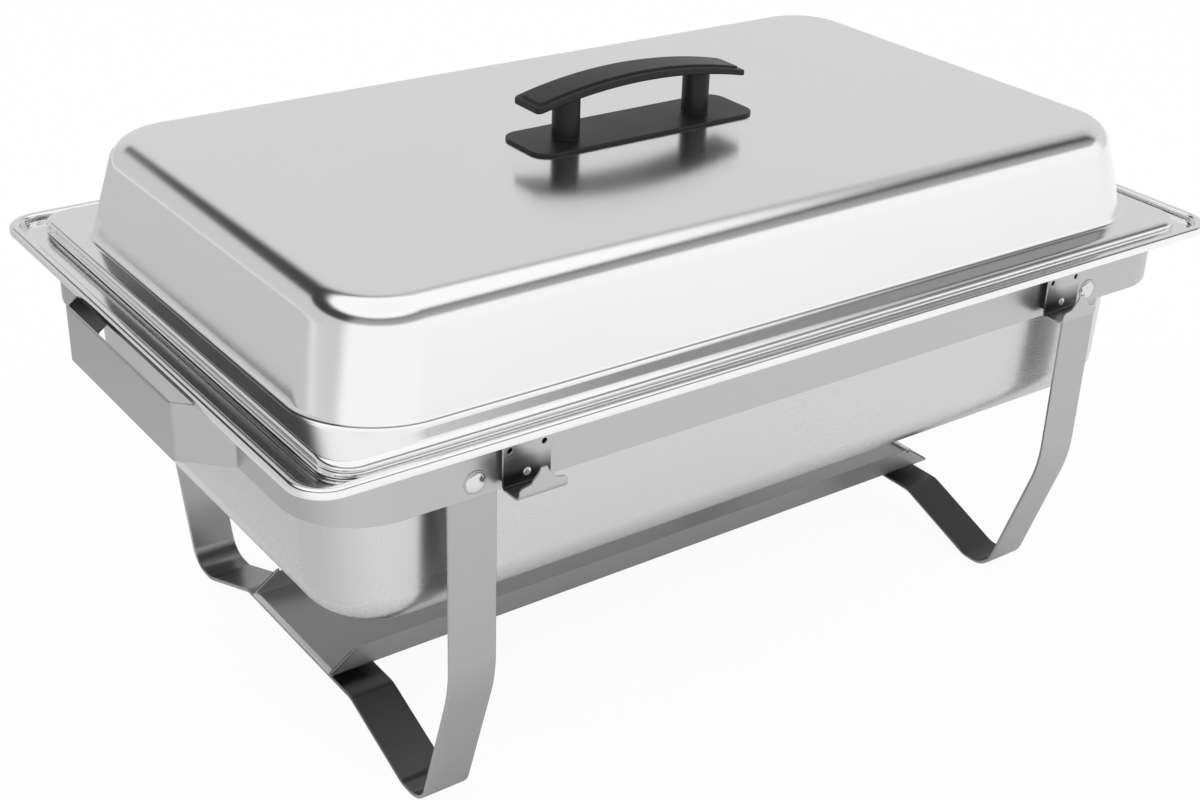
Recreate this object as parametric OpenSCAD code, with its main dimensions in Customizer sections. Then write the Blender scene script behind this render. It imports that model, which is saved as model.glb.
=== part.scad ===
// Folding-frame full-size chafer with a lift-off dome cover.
// Millimetres. X runs along the length, Y from front to back, Z up, floor at Z = 0.

/* [Food pan] */
// Overall length of the food pan rim and of the cover rim
gn_l = 530; // [450:1:600]
// Overall width of the food pan rim and of the cover rim
gn_w = 325; // [280:1:360]
// Plan radius of the food pan and cover rim corners
gn_corner_r = 16; // [10:0.5:25]
// Height of the turned-down hem of the food pan and of the cover
hem_h = 3.3; // [2:0.1:6]
// Thickness of the turned-down hem
hem_t = 1; // [0.8:0.1:2]
// Gap between the food pan's well and the water pan's well at each end
food_gap_l = 7; // [4:0.5:15]
// Gap between the food pan's well and the water pan's well at the front and back
food_gap_w = 6; // [4:0.5:15]
// Plan radius of the food pan's well corners
food_corner_r = 36; // [20:1:40]
// Depth of the food pan
food_depth = 65; // [40:1:85]
// Inward draft of each food pan wall over its depth
food_draft = 8; // [2:0.5:12]
// Radius between the food pan's walls and its bottom
food_fillet_r = 15; // [5:1:25]

/* [Water pan] */
// Gap between the food pan's rim and the water pan's bead at each end
rim_gap_l = 11.6; // [2:0.1:20]
// Gap between the food pan's rim and the water pan's bead at the front and back
rim_gap_w = 3.9; // [2:0.1:10]
// Plan radius of the rim's outer corners
rim_corner_r = 18; // [10:0.5:30]
// Width of the raised bead round the rim
bead_w = 5.4; // [4:0.1:8]
// Height of the raised bead above the underside of the ledge
bead_h = 4.7; // [3:0.1:8]
// Rounding of the bead's upper edges
bead_round = 1.8; // [0.5:0.1:1.9]
// Distance from the ends of the frame band to the water pan's well
well_in_l = 14; // [4:0.5:30]
// Room between the legs' uprights and the water pan's well
leg_room = 9.7; // [4:0.1:20]
// Plan radius of the well's corners
well_corner_r = 40; // [30:1:60]
// Depth of the well below the ledge
well_depth = 98; // [75:1:140]
// Inward draft of each well wall over its depth
well_draft = 2; // [0:0.5:10]
// Radius between the well's walls and its bottom
well_fillet_r = 20; // [8:1:28]
// Thickness of the pressed steel sheet
sheet_t = 0.8; // [0.6:0.1:1.2]

/* [Cover] */
// Width of the cover's flat flange at each end
flange_in_l = 10.6; // [6:0.1:30]
// Width of the cover's flat flange at the front and back
flange_in_w = 15.5; // [6:0.1:30]
// Plan radius of the dome's corners at the flange
dome_foot_r = 42; // [25:1:60]
// How far each end wall of the dome leans in up to the flat top
dome_in_l = 24.3; // [8:0.1:60]
// How far the front and back walls of the dome lean in up to the flat top
dome_in_w = 23.6; // [8:0.1:60]
// Plan radius of the flat top's corners
dome_top_r = 23.5; // [10:0.5:60]
// Height of the dome above the flange
dome_h = 50.7; // [30:0.1:90]
// Radius of the edge between the dome's walls and its top
dome_edge_r = 14.7; // [3:0.1:20]
// Mean lean of the dome's walls from upright, in degrees
dome_lean = 12; // [5:1:30]
// Facets per full turn of the dome's corners
dome_fn = 72; // [24:4:96]
// Facets across the dome's upper edge
dome_steps = 6; // [4:1:10]

/* [Cover handle] */
// Length of the handle's base plate
plate_l = 141; // [110:1:180]
// Width of the handle's base plate
plate_w = 39.5; // [25:1:60]
// Plan radius of the base plate's corners
plate_r = 10; // [5:0.5:18]
// Thickness of the base plate
plate_t = 1.6; // [1.2:0.1:5]
// Distance of each handle post from the base plate's end
post_in = 28.5; // [20:1:50]
// Radius of the handle posts
post_r = 7.3; // [6:0.1:12]
// Height of the grip's top, at its middle, above the base plate
grip_rise = 30.7; // [22:0.1:45]
// Radius of the grip's arched top
grip_arch_r = 275; // [220:1:500]
// Radius of the grip's arched underside
grip_under_r = 295; // [240:1:700]
// Thickness of the grip at its middle
grip_t = 4.8; // [4:0.1:8]
// Length of the grip
grip_l = 134; // [110:1:180]
// How far the grip reaches beyond the posts at each side
grip_over = 4.9; // [1:0.1:8]
// Plan radius of the grip's corners
grip_corner_r = 3.5; // [1:0.5:8]
// Distance of the raised pad from the grip's ends
pad_in_l = 3; // [1:0.5:12]
// Distance of the raised pad from the grip's long edges
pad_in_w = 3.5; // [1:0.5:8]
// Height of the raised pad
pad_h = 1.1; // [0.5:0.1:3]
// Plan radius of the pad's corners
pad_corner_r = 2; // [0.5:0.5:5]
// Radius of the handle screws
screw_r = 2.5; // [1.5:0.1:4]
// How far each handle screw reaches into its post
screw_bite = 10; // [5:0.5:16]
// Radius of the handle screws' heads
screw_head_r = 4.6; // [3:0.1:7]
// Height of the handle screws' heads
screw_head_h = 3; // [1:0.1:5]
// Radius of the washers under the screw heads
washer_r = 8; // [5:0.1:12]
// Thickness of the washers
washer_t = 1.2; // [0.8:0.1:2]

/* [Frame band] */
// Height of the frame band's upper edge above the floor
stand_h = 212.6; // [180:0.1:260]
// How far the water pan's rim stands out over each end of the band
rim_over_l = 13; // [4:0.5:25]
// How far the water pan's rim stands out over the front and back of the band
rim_over_w = 14.3; // [7:0.1:25]
// Outer plan radius of the band's corners
band_corner_r = 38; // [15:1:60]
// Height of the band
band_h = 28.8; // [18:0.1:40]
// Thickness of the band
band_t = 1.5; // [1:0.1:3]

/* [End handles] */
// How far each end handle stands out from the band
end_reach = 21; // [10:0.5:40]
// Distance of each end handle's foot from the band's long sides
end_foot_in = 74.5; // [40:0.5:110]
// Run of each end handle's slanted returns
end_run = 23; // [5:0.5:40]

/* [Cover hooks] */
// Distance of each cover hook's middle from its leg's middle
hook_from_leg = 24.2; // [20:0.1:80]
// Width of the cover hooks
hook_w = 25; // [15:0.5:40]
// Height of the cover hooks' back plates
hook_h = 22; // [15:0.5:26]
// Height of the hooks' ledges above the band's lower edge
hook_lift = 1.5; // [0:0.1:5]
// Gap between the hooks' back plates and the band
hook_gap = 2.5; // [1:0.1:6]
// Reach of the hooks' ledges from the back plates
hook_reach = 12.4; // [8:0.1:20]
// Thickness of the hooks' sheet
hook_t = 1; // [0.8:0.1:2]
// Height of the hooks' lips
lip_h = 7; // [3:0.1:12]
// Radius of the lips' upper corners
lip_round = 2.5; // [0.5:0.1:3]
// Height of the tongue in the middle of each lip
tongue_h = 14.5; // [8:0.1:20]
// Width of the tongue at its root
tongue_root_w = 13; // [8:0.5:18]
// Width of the tongue at its tip
tongue_tip_w = 8; // [4:0.5:10]
// Radius of the two holes in each hook's back plate
hook_hole_r = 1.5; // [0.8:0.1:2.5]
// Distance of each hole from the plate's edges
hook_hole_in = 3.6; // [2:0.1:6]
// Radius of the rivet heads that hold the hooks
hook_rivet_r = 2; // [1:0.1:3]
// Height of the hook rivet heads
hook_rivet_h = 0.9; // [0.4:0.1:1.5]
// Height of each hook rivet above its ledge
hook_rivet_z = 6; // [4:0.1:12]

/* [Legs] */
// Distance of each folding leg's middle from the end of the band
leg_in = 74; // [55:0.5:110]
// Width of the legs' flat strip
leg_w = 25; // [18:0.1:40]
// Thickness of the legs' flat strip
leg_t = 2; // [1.5:0.1:4]
// Depth of the leg pivots below the band's upper edge
pivot_drop = 21.3; // [16:0.1:24]
// Height of the bend where the legs start to lean inward
knee_z = 84.3; // [50:0.1:140]
// How far each foot's outer corner stands in from the upright
foot_in = 27; // [5:0.1:60]
// Length of each foot's flat between its bends' corners
foot_flat = 19.6; // [10:0.1:30]
// Half length of the crossbar between its bends' corners
cross_half = 58; // [50:1:80]
// Height of the crossbar's top, on which the shelf's channel rests
cross_top = 21.8; // [12:0.1:50]
// Inner radius of the knees
knee_r = 80; // [5:1:100]
// Inner radius of the feet's bends
foot_r = 14; // [3:0.5:25]
// Inner radius of the crossbar's bends
inner_bend_r = 12; // [4:0.5:20]
// Straight facets in each bend
bend_steps = 8; // [3:1:12]

/* [Leg rivets] */
// Radius of the pivot rivets' shanks
rivet_r = 2.5; // [1.5:0.1:4]
// Radius of the pivot rivets' domed heads
rivet_head_r = 5.2; // [4:0.1:8]
// Height of the pivot rivets' domed heads
rivet_head_h = 2; // [1:0.1:4]
// Radius of the pivot rivets' closed ends inside the legs
rivet_tail_r = 4.4; // [3.5:0.1:7]
// Thickness of the pivot rivets' closed ends
rivet_tail_t = 1.2; // [0.8:0.1:2]

/* [Fuel shelf] */
// How far the fuel shelf reaches beyond the middle of each leg
shelf_over = 16; // [10:0.5:30]
// Distance of the shelf's long edges from the crossbar's bends
shelf_in = 13.5; // [6:0.5:25]
// Height of the shelf's long flanges
flange_h = 13; // [6:0.5:20]
// Height at which the flanges' slanted ends start
flange_nose_h = 1.5; // [1:0.5:6]
// How far the slanted ends run in along the flanges
flange_slope = 16; // [5:0.5:40]
// Height of the channel that stiffens the shelf's underside
channel_h = 4.5; // [2:0.1:10]
// Width of the channel under the shelf
channel_w = 30; // [20:1:60]
// Distance of the channel's ends from the shelf's ends
channel_in = 12; // [5:0.5:25]

/* [Fits] */
// Radial clearance of the rivets and screws in their holes
pivot_fit = 0.05; // [0.02:0.01:0.1]
// Side clearance between moving flat faces
side_fit = 0.3; // [0.1:0.05:0.5]
// Clearance between the legs and the pivot rivets' closed ends
swivel_fit = 0.1; // [0.05:0.05:0.3]

/* [Hidden] */
$fn = 64;
arch_fn = 480;
fillet_steps = 8;
cut = 1;
fine = 1000;
slice_t = 0.05;
rim_l = gn_l + 2 * (rim_gap_l + bead_w);
rim_w = gn_w + 2 * (rim_gap_w + bead_w);
band_l = rim_l - 2 * rim_over_l;
band_w = rim_w - 2 * rim_over_w;
rail_half_w = band_w / 2;
well_l = band_l - 2 * well_in_l;
well_w = band_w - 2 * (band_t + side_fit + leg_t + leg_room);
food_l = well_l - 2 * food_gap_l;
food_w = well_w - 2 * food_gap_w;
dome_foot_l = gn_l - 2 * flange_in_l;
dome_foot_w = gn_w - 2 * flange_in_w;
dome_top_l = dome_foot_l - 2 * dome_in_l;
dome_top_w = dome_foot_w - 2 * dome_in_w;
post_x = plate_l / 2 - post_in;
grip_w = 2 * (post_r + grip_over);
pad_l = grip_l - 2 * pad_in_l;
pad_w = grip_w - 2 * pad_in_w;
end_foot_w = band_w - 2 * end_foot_in;
end_flat_w = end_foot_w - 2 * end_run;
leg_x = band_l / 2 - leg_in;
hook_x = leg_x - hook_from_leg;
pivot_z = stand_h - pivot_drop;
shelf_l = 2 * (leg_x + shelf_over);
shelf_w = 2 * (cross_half - shelf_in);
ledge_top = stand_h + sheet_t;
food_top = ledge_top + hem_h;
cover_top = food_top + hem_h;
dome_top = cover_top + dome_h;
plate_top = dome_top + plate_t;
grip_top = plate_top + grip_rise;
band_low = stand_h - band_h;
hook_face = rail_half_w + hook_gap + hook_t;
hook_out = hook_face + hook_reach + hook_t;
hook_low = band_low + hook_lift;
leg_face = rail_half_w - band_t - side_fit;
// The hooks stand out further than the rim, so the whole is moved back to centre it
centre_y = (hook_out - rim_w / 2) / 2;

// ---------------------------------------------------------------- shared shapes

// Moves a sub-part into the centred frame
module placed() {
  translate([0, centre_y, 0]) children();
}

// Flat rounded rectangle
module rounded(l, w, r) {
  square([l - 2 * r, w], center = true);
  square([l, w - 2 * r], center = true);
  for (sx = [-1, 1], sy = [-1, 1])
    translate([sx * (l / 2 - r), sy * (w / 2 - r)]) circle(r);
}

// Sweeps a section round a rounded rectangle. The section's X is the distance from a
// corner's centre and its Y is height.
module swept(l, w, r) {
  for (quarter = [0 : 3])
    let (sx = (quarter == 0 || quarter == 3) ? 1 : -1, sy = quarter < 2 ? 1 : -1)
      translate([sx * (l / 2 - r), sy * (w / 2 - r), 0])
        rotate([0, 0, quarter * 90]) rotate_extrude(angle = 90) children();
  for (side = [0, 180]) {
    rotate([0, 0, side]) translate([l / 2 - r, 0, 0])
      rotate([90, 0, 0]) linear_extrude(w - 2 * r, center = true) children();
    rotate([0, 0, side + 90]) translate([w / 2 - r, 0, 0])
      rotate([90, 0, 0]) linear_extrude(l - 2 * r, center = true) children();
  }
}

// Rounds to a thousandth, so that neighbouring shapes meet exactly
function snapped(v) = round(v * fine) / fine;

// How far a drafted wall of thickness t reaches in at its mouth
function wall_in(depth, draft, t) = t * norm([depth, draft]) / depth;

// Points of an arc from angle a to angle b
function arc(middle, r, a, b) =
  [for (k = [0 : fillet_steps]) middle + r * [cos(a + (b - a) * k / fillet_steps), sin(a + (b - a) * k / fillet_steps)]];

// Thin-walled drafted well, mouth at Z = t, opening upward through a flange of thickness t
module well(l, w, r, depth, draft, fillet, t) {
  slope = norm([depth, draft]);
  drop = (depth - fillet + fillet * draft / slope) / depth;
  centre = [snapped(r - draft * drop - fillet * depth / slope), fillet - depth];
  lean = -atan2(draft, depth);
  mouth = r - wall_in(depth, draft, t);
  swept(l, w, r)
    polygon(concat([[r, t], [r, 0]], arc(centre, fillet, lean, -90), arc(centre, fillet - t, -90, lean),
      [[mouth, 0], [mouth, t]]));
  translate([0, 0, -depth]) linear_extrude(t)
    rounded(l - 2 * (r - centre[0]), w - 2 * (r - centre[0]), centre[0]);
}

// Flat flange of thickness t from the outline l, w, r in to the middle of a well's wall
module flange(l, w, r, in_l, in_w, in_r, t) {
  linear_extrude(t) difference() {
    rounded(l, w, r);
    rounded(in_l - t, in_w - t, in_r - t / 2);
  }
}

// Turned-down hem with a rounded upper edge
module hem() {
  translate([gn_corner_r - hem_t, 0]) square([hem_t, hem_h - hem_t]);
  translate([gn_corner_r - 2 * hem_t, hem_h - sheet_t]) square([hem_t, sheet_t]);
  translate([gn_corner_r - hem_t, hem_h - hem_t]) intersection() {
    circle(hem_t);
    square(hem_t);
  }
}

// Domed rivet head on the XY plane, pointing up
module domed_head(r, h) {
  ball = (r * r + h * h) / (2 * h);
  rotate_extrude() intersection() {
    translate([0, h - ball]) circle(ball);
    square([r, h]);
  }
}

// ---------------------------------------------------------------- pans

module water_pan() placed() color("silver") {
  translate([0, 0, stand_h]) {
    flange(rim_l - bead_w, rim_w - bead_w, rim_corner_r - bead_w / 2, well_l, well_w, well_corner_r, sheet_t);
    swept(rim_l, rim_w, rim_corner_r) translate([rim_corner_r - bead_w, 0]) {
      square([bead_w, bead_h - bead_round]);
      translate([bead_round, 0]) square([bead_w - 2 * bead_round, bead_h]);
      for (x = [bead_round, bead_w - bead_round])
        translate([x, bead_h - bead_round]) circle(bead_round);
    }
    well(well_l, well_w, well_corner_r, well_depth, well_draft, well_fillet_r, sheet_t);
  }
}

module food_pan() placed() color("silver") {
  translate([0, 0, ledge_top + hem_h - sheet_t]) {
    flange(gn_l - 2 * hem_t, gn_w - 2 * hem_t, gn_corner_r - hem_t, food_l, food_w, food_corner_r, sheet_t);
    well(food_l, food_w, food_corner_r, food_depth, food_draft, food_fillet_r, sheet_t);
  }
  translate([0, 0, ledge_top]) swept(gn_l, gn_w, gn_corner_r) hem();
}

// ---------------------------------------------------------------- cover

// Thin slice of the dome at height z
module dome_slice(l, w, r, z) {
  translate([0, 0, z]) linear_extrude(slice_t) rounded(l, w, r, $fn = dome_fn);
}

// Solid dome, g in from its outer face, its foot at Z = 0
module dome(g) {
  foot = 2 * g / cos(dome_lean);
  edge = dome_edge_r - g;
  low = g > 0 ? -cut : -sheet_t;
  hull() {
    dome_slice(dome_foot_l - foot, dome_foot_w - foot, dome_foot_r - foot / 2, low);
    for (k = [0 : dome_steps]) let (a = dome_lean + (90 - dome_lean) * k / dome_steps)
      dome_slice(dome_top_l + 2 * edge * cos(a), dome_top_w + 2 * edge * cos(a),
        dome_top_r + edge * cos(a), dome_h - dome_edge_r + edge * sin(a) - slice_t);
  }
}

module lid_shell() placed() color("silver") {
  difference() {
    union() {
      translate([0, 0, cover_top - sheet_t]) linear_extrude(sheet_t)
        rounded(gn_l - 2 * hem_t, gn_w - 2 * hem_t, gn_corner_r - hem_t);
      translate([0, 0, cover_top]) dome(0);
    }
    translate([0, 0, cover_top]) dome(sheet_t);
    for (side = [-1, 1])
      translate([side * post_x, 0, dome_top - sheet_t - cut])
        cylinder(h = sheet_t + 2 * cut, r = screw_r + pivot_fit);
  }
  translate([0, 0, food_top]) swept(gn_l, gn_w, gn_corner_r) hem();
}

module handle_base_plate() placed() color("#222222") {
  translate([0, 0, dome_top]) linear_extrude(plate_t) difference() {
    rounded(plate_l, plate_w, plate_r);
    for (side = [-1, 1])
      translate([side * post_x, 0]) circle(screw_r + pivot_fit);
  }
}

// Long round bar along Y whose top is the arch of radius r that peaks at height z
module arch(r, z) {
  translate([0, 0, z - r]) rotate([90, 0, 0]) cylinder(h = grip_w + 2 * cut, r = r, center = true, $fn = arch_fn);
}

module handle_post(side) placed() color("#222222") {
  intersection() {
    translate([side * post_x, 0, plate_top]) difference() {
      cylinder(h = grip_rise, r = post_r);
      translate([0, 0, -cut]) cylinder(h = screw_bite + cut, r = screw_r + pivot_fit);
    }
    arch(grip_under_r, grip_top - grip_t);
  }
}

module handle_post_left() handle_post(-1);

module handle_post_right() handle_post(1);

module handle_grip() placed() color("#222222") {
  difference() {
    intersection() {
      translate([0, 0, plate_top]) linear_extrude(grip_rise) rounded(grip_l, grip_w, grip_corner_r);
      arch(grip_arch_r - pad_h, grip_top - pad_h);
    }
    arch(grip_under_r, grip_top - grip_t);
  }
  difference() {
    intersection() {
      translate([0, 0, plate_top]) linear_extrude(grip_rise) rounded(pad_l, pad_w, pad_corner_r);
      arch(grip_arch_r, grip_top);
    }
    arch(grip_arch_r - pad_h, grip_top - pad_h);
  }
}

module handle_screws() placed() color("gray") {
  for (side = [-1, 1])
    translate([side * post_x, 0, dome_top - sheet_t - washer_t]) {
      cylinder(h = washer_t + sheet_t + plate_t + screw_bite, r = screw_r);
      translate([0, 0, -screw_head_h]) cylinder(h = screw_head_h, r = screw_head_r);
    }
}

module handle_washers() placed() color("gray") {
  for (side = [-1, 1])
    translate([side * post_x, 0, dome_top - sheet_t - washer_t]) difference() {
      cylinder(h = washer_t, r = washer_r);
      translate([0, 0, -cut]) cylinder(h = washer_t + 2 * cut, r = screw_r + pivot_fit);
    }
}

// ---------------------------------------------------------------- frame

// Round hole or bar along Y at a leg pivot
module pivot_bar(x, y, l, r) {
  translate([x, y, pivot_z]) rotate([90, 0, 0]) cylinder(h = l, r = r, center = true);
}

// Long rail with its two corners, as the front rail
module rail() {
  straight = band_l / 2 - band_corner_r;
  difference() {
    translate([0, 0, band_low]) {
      translate([-straight, -rail_half_w, 0]) cube([2 * straight, band_t, band_h]);
      for (side = [0, 1])
        mirror([side, 0, 0]) {
          translate([straight, band_corner_r - rail_half_w, 0])
            rotate([0, 0, -90]) rotate_extrude(angle = 90)
              translate([band_corner_r - band_t, 0]) square([band_t, band_h]);
          translate([band_l / 2 - band_t, band_corner_r - rail_half_w, 0])
            cube([band_t, rail_half_w - band_corner_r - end_foot_w / 2, band_h]);
        }
    }
    for (side = [-1, 1])
      pivot_bar(side * leg_x, -rail_half_w, 2 * band_t + 2 * cut, rivet_r + pivot_fit);
  }
}

module front_rail() placed() color("silver") rail();

module back_rail() placed() color("silver") mirror([0, 1, 0]) rail();

module end_handle() {
  run = (end_foot_w - end_flat_w) / 2;
  corner = band_t * tan(atan2(end_reach, run) / 2);
  out = band_l / 2 + end_reach;
  half = [[out, end_flat_w / 2], [band_l / 2, end_foot_w / 2],
    [band_l / 2 - band_t, end_foot_w / 2], [band_l / 2 - band_t, end_foot_w / 2 - corner],
    [out - band_t, end_flat_w / 2 - corner]];
  translate([0, 0, band_low]) linear_extrude(band_h)
    polygon(concat(half, [for (k = [len(half) - 1 : -1 : 0]) [half[k][0], -half[k][1]]]));
}

module left_end_handle() placed() color("silver") mirror([1, 0, 0]) end_handle();

module right_end_handle() placed() color("silver") end_handle();

// Outline of a hook's lip and tongue, standing on the X axis
module lip_outline() {
  square([hook_w, lip_h - lip_round]);
  translate([lip_round, 0]) square([hook_w - 2 * lip_round, lip_h]);
  for (x = [lip_round, hook_w - lip_round])
    translate([x, lip_h - lip_round]) circle(lip_round);
  translate([hook_w / 2, 0])
    polygon([[-tongue_root_w / 2, 0], [tongue_root_w / 2, 0], [tongue_root_w / 2, lip_h - lip_round],
      [tongue_tip_w / 2, tongue_h], [-tongue_tip_w / 2, tongue_h],
      [-tongue_root_w / 2, lip_h - lip_round]]);
}

module lid_hook(side) placed() color("silver") {
  translate([side * hook_x - hook_w / 2, -hook_face, hook_low]) {
    difference() {
      cube([hook_w, hook_t, hook_h]);
      for (x = [hook_hole_in, hook_w - hook_hole_in])
        translate([x, hook_t / 2, hook_h - hook_hole_in])
          rotate([90, 0, 0]) cylinder(h = hook_t + 2 * cut, r = hook_hole_r, center = true);
    }
    for (x = [0, hook_w - hook_t])
      translate([x, 0, 0]) cube([hook_t, hook_t + hook_gap, hook_h]);
    translate([0, -hook_reach - hook_t, 0]) {
      cube([hook_w, hook_reach + hook_t, hook_t]);
      translate([0, hook_t, 0]) rotate([90, 0, 0]) linear_extrude(hook_t) lip_outline();
    }
  }
}

module lid_hook_left() lid_hook(-1);

module lid_hook_right() lid_hook(1);

module hook_rivets() placed() color("silver") {
  for (side = [-1, 1])
    translate([side * hook_x, -hook_face, hook_low + hook_rivet_z])
      rotate([90, 0, 0]) domed_head(hook_rivet_r, hook_rivet_h);
}

// ---------------------------------------------------------------- legs

function unit(v) = v / norm(v);
function left_of(v) = [-v[1], v[0]];
function spun(v, a) = [v[0] * cos(a) - v[1] * sin(a), v[0] * sin(a) + v[1] * cos(a)];

// Points of a rounded bend at corner b, on the face that lies g inside the outer face
function bend(a, b, c, r, g) =
  let (go = unit(b - a), on = unit(c - b),
    turn = go[0] * on[1] - go[1] * on[0],
    hand = sign(turn),
    swing = asin(abs(turn)),
    face_r = hand > 0 ? r + leg_t : r,
    middle = b - go * face_r * tan(swing / 2) + hand * left_of(go) * face_r,
    spoke = -hand * left_of(go) * (face_r - hand * g))
  [for (k = [0 : bend_steps]) middle + spun(spoke, hand * swing * k / bend_steps)];

// Corners of the leg's outer face, from the front upright's top to the crossbar's middle
leg_line = [
  [-leg_face, pivot_z + leg_w / 2],
  [-leg_face, knee_z],
  [foot_in - leg_face, 0],
  [foot_in + foot_flat - leg_face, 0],
  [-cross_half, cross_top - leg_t],
  [0, cross_top - leg_t]];
leg_bends = [knee_r, foot_r, foot_r, inner_bend_r];

function leg_side(g) = [for (i = [1 : 4])
  each bend(leg_line[i - 1], leg_line[i], leg_line[i + 1], leg_bends[i - 1], g)];

// The whole face that lies g inside the outer face, from front to back
function leg_face_line(g) =
  let (half = concat([leg_line[0] + [g, 0]], leg_side(g)))
  concat(half, [for (k = [len(half) - 1 : -1 : 0]) [-half[k][0], half[k][1]]]);

// One leg's bent strip, seen along X
module leg_strip() {
  inner = leg_face_line(leg_t);
  polygon(concat(leg_face_line(0), [for (k = [len(inner) - 1 : -1 : 0]) inner[k]]));
}

module leg(side) placed() color("silver") {
  difference() {
    translate([side * leg_x, 0, 0]) rotate([90, 0, 90]) linear_extrude(leg_w, center = true) leg_strip();
    for (face = [-1, 1]) {
      pivot_bar(side * leg_x, face * leg_face, 2 * leg_t + 2 * cut, rivet_r + pivot_fit);
      difference() {
        translate([side * leg_x, face * leg_face, pivot_z + leg_w / 4 + cut])
          cube([leg_w + 2 * cut, 2 * leg_t + 2 * cut, leg_w / 2 + 2 * cut], center = true);
        pivot_bar(side * leg_x, face * leg_face, 2 * leg_t + 4 * cut, leg_w / 2);
      }
    }
  }
}

module left_leg() leg(-1);

module right_leg() leg(1);

module leg_rivets(side) placed() color("gray") {
  shank = band_t + side_fit + leg_t + swivel_fit;
  for (face = [0, 1])
    mirror([0, face, 0]) translate([side * leg_x, -rail_half_w, pivot_z]) {
      rotate([90, 0, 0]) domed_head(rivet_head_r, rivet_head_h);
      rotate([-90, 0, 0]) cylinder(h = shank + rivet_tail_t, r = rivet_r);
      translate([0, shank, 0]) rotate([-90, 0, 0]) cylinder(h = rivet_tail_t, r = rivet_tail_r);
    }
}

module left_leg_rivets() leg_rivets(-1);

module right_leg_rivets() leg_rivets(1);

// ---------------------------------------------------------------- fuel shelf

module fuel_shelf() placed() color("silver") {
  channel_l = shelf_l - 2 * channel_in;
  translate([-channel_l / 2, 0, cross_top]) rotate([90, 0, 90]) linear_extrude(channel_l) difference() {
    translate([-channel_w / 2, 0]) square([channel_w, channel_h + sheet_t / 2]);
    translate([sheet_t - channel_w / 2, sheet_t]) square([channel_w - 2 * sheet_t, channel_h]);
  }
  translate([-shelf_l / 2, -shelf_w / 2, cross_top + channel_h]) {
    cube([shelf_l, shelf_w, sheet_t]);
    for (y = [sheet_t, shelf_w])
      translate([0, y, 0]) rotate([90, 0, 0]) linear_extrude(sheet_t)
        polygon([[0, 0], [shelf_l, 0], [shelf_l, flange_nose_h], [shelf_l - flange_slope, flange_h],
          [flange_slope, flange_h], [0, flange_nose_h]]);
  }
}

// ---------------------------------------------------------------- drawing

lid_shell();
handle_base_plate();
handle_post_left();
handle_post_right();
handle_grip();
handle_screws();
handle_washers();
food_pan();
water_pan();
front_rail();
back_rail();
left_end_handle();
right_end_handle();
lid_hook_left();
lid_hook_right();
hook_rivets();
left_leg();
right_leg();
left_leg_rivets();
right_leg_rivets();
fuel_shelf();
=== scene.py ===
import math

import bmesh
import bpy
from mathutils import Matrix, Vector


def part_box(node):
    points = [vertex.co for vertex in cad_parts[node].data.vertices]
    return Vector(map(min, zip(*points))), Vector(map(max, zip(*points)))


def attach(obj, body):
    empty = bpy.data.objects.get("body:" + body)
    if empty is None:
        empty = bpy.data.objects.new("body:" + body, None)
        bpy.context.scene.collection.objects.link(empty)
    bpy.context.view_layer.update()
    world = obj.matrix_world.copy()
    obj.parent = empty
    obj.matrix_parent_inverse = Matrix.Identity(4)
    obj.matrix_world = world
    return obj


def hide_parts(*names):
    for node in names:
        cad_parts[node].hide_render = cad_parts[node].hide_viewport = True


# Full-size chafer: domed cover, two pans and a folding strip-steel frame.
# Sizes in the dictionaries are millimetres; meshes are metres.

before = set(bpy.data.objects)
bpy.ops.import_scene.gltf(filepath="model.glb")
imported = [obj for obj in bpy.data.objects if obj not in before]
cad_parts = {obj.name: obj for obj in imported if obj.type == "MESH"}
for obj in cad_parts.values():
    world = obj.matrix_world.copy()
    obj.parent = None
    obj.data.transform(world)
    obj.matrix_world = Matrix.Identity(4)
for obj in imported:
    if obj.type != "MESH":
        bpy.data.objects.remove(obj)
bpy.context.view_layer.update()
print("frame loaded,", len(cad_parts), "nodes")


def boxOf(node):
    low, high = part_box(node)
    return low * 1000, high * 1000


frontLow, frontHigh = boxOf("front_rail")
backHigh = boxOf("back_rail")[1]
middleY = (frontLow.y + backHigh.y) / 2  # the pans' long middle line


def addPiece(name, points, faces, material, smoothAngle=32):
    mesh = bpy.data.meshes.new(name)
    mesh.from_pydata([Vector(p) * 0.001 for p in points], [], faces)
    work = bmesh.new()
    work.from_mesh(mesh)
    bmesh.ops.remove_doubles(work, verts=work.verts, dist=1e-6)
    bmesh.ops.dissolve_degenerate(work, edges=work.edges, dist=1e-7)
    bmesh.ops.recalc_face_normals(work, faces=work.faces)
    work.to_mesh(mesh)
    work.free()
    return addMesh(name, mesh, material, smoothAngle)


def addMesh(name, mesh, material, smoothAngle=32):
    mesh.shade_smooth()
    mesh.set_sharp_from_angle(angle=math.radians(smoothAngle))
    mesh.materials.clear()
    mesh.materials.append(material)
    piece = bpy.data.objects.new(name, mesh)
    bpy.context.scene.collection.objects.link(piece)
    weigh = piece.modifiers.new("evenNormals", "WEIGHTED_NORMAL")
    weigh.keep_sharp = True
    return piece


def place(piece, body, slot, *nodes):
    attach(piece, body)
    if nodes:
        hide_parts(*nodes)
    return piece


def joined(*parts):
    # puts several point and face lists into one
    points, faces = [], []
    for partPoints, partFaces in parts:
        base = len(points)
        points += partPoints
        faces += [tuple(base + k for k in face) for face in partFaces]
    return points, faces


def arc(start, end, steps, first=0):
    # (cosine, sine) at even steps between two angles in degrees
    angles = [math.radians(start + (end - start) * k / steps) for k in range(first, steps + 1)]
    return [(math.cos(a), math.sin(a)) for a in angles]


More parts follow.
